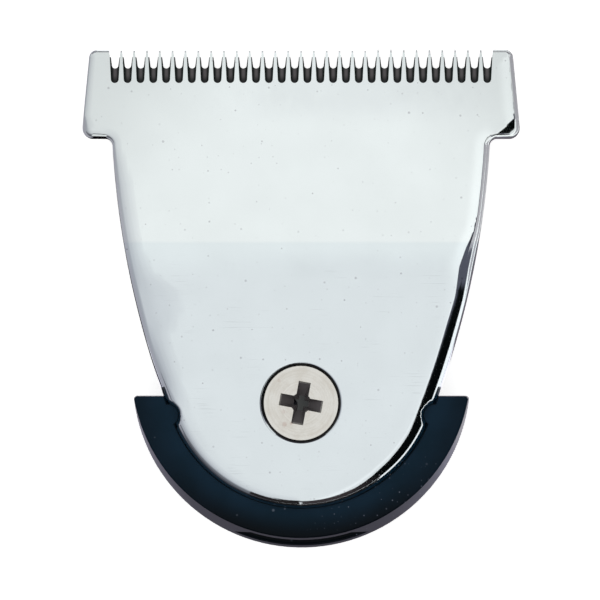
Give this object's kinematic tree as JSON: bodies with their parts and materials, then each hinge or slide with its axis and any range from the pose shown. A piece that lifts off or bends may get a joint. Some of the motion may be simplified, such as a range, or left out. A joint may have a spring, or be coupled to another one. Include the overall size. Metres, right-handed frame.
{
  "type": "hair clipper blade",
  "caption": "Flat T-shaped comb blade with a sliding toothed cutter behind it, screwed to a crescent clip-on base with a drive slot at the back.",
  "frame": {"origin": "middle of the width and of the length, on the plane the base rests on", "axes": "+X along the cutting edge, +Y from the tail to the tooth tips, +Z out of the front of the comb plate"},
  "size_m": [0.0368, 0.042, 0.0086],
  "materials": {
    "ground_steel": "satin ground",
    "cutter_steel": "dark hardened",
    "follower_acetal": "moulded",
    "spring_wire": "drawn",
    "base_plastic": "satin moulded",
    "insert_brass": "turned",
    "screw_nickel": "nickel plated"
  },
  "bodies": {
    "holder": {"fixed_blade": "ground_steel", "blade_base": "base_plastic", "fixing_screw": "screw_nickel", "screw_insert": "insert_brass", "tension_spring": "spring_wire"},
    "cutter": {"moving_blade": "cutter_steel", "drive_follower": "follower_acetal"}
  },
  "joints": [
    {"name": "cutter_slide", "type": "slide", "parent": "holder", "child": "cutter", "axis": [1, 0, 0], "range_m": [-0.0009, 0.0009]}
  ]
}
